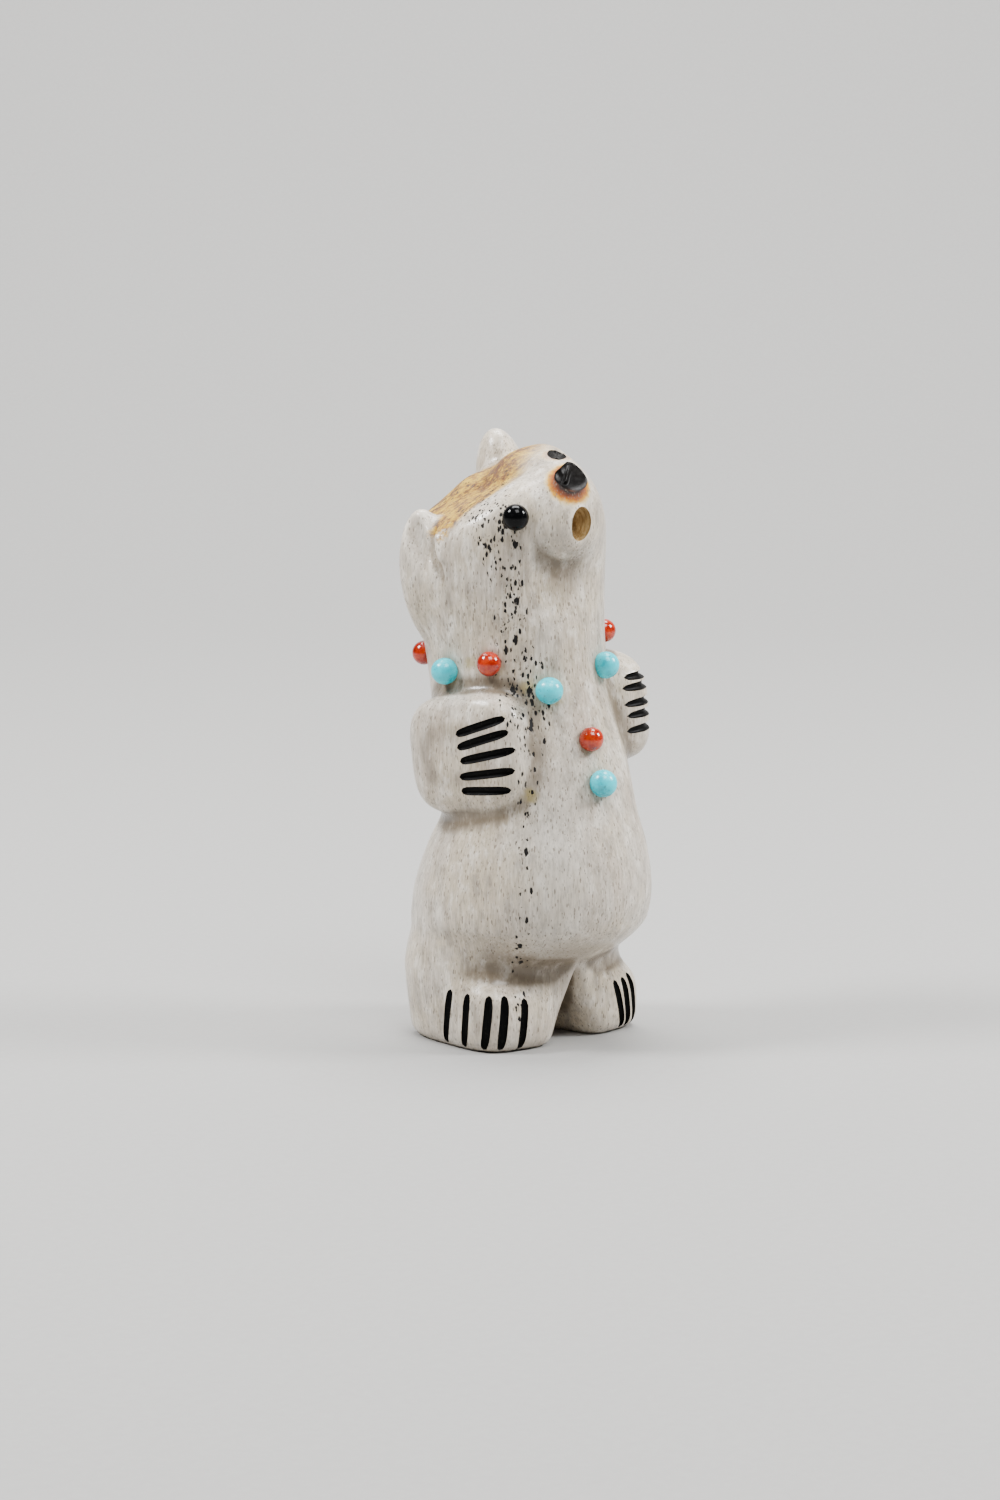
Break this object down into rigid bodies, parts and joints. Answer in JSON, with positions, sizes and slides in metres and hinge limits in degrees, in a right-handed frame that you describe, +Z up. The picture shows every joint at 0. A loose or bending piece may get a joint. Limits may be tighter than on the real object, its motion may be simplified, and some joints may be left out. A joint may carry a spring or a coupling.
{
  "type": "carved standing bear figure",
  "caption": "Small standing bear carved from antler, head lifted and mouth open, with a necklace of coral and turquoise beads.",
  "frame": {"origin": "middle of the figure's box, on the surface that the soles stand on", "axes": "+Z up, the bear faces -Y, its right side is -X"},
  "size_m": [0.0306, 0.0338, 0.0759],
  "materials": {
    "antler": "polished antler, warm white with grey pores and a brown bark patch on the crown",
    "coral": "polished red coral with orange veins",
    "turquoise": "polished pale turquoise",
    "jet": "glossy black jet"
  },
  "bodies": {
    "root": {"antler_bear": "antler", "bead_front_coral": "coral", "pendant_turquoise": "turquoise", "bead_right_1": "turquoise", "bead_right_2": "coral", "bead_right_3": "turquoise", "bead_right_4": "coral", "bead_left_1": "turquoise", "bead_left_2": "coral", "bead_left_3": "turquoise", "bead_left_4": "coral", "bead_back_turquoise": "turquoise", "eye_right": "jet", "eye_left": "jet"}
  },
  "joints": []
}
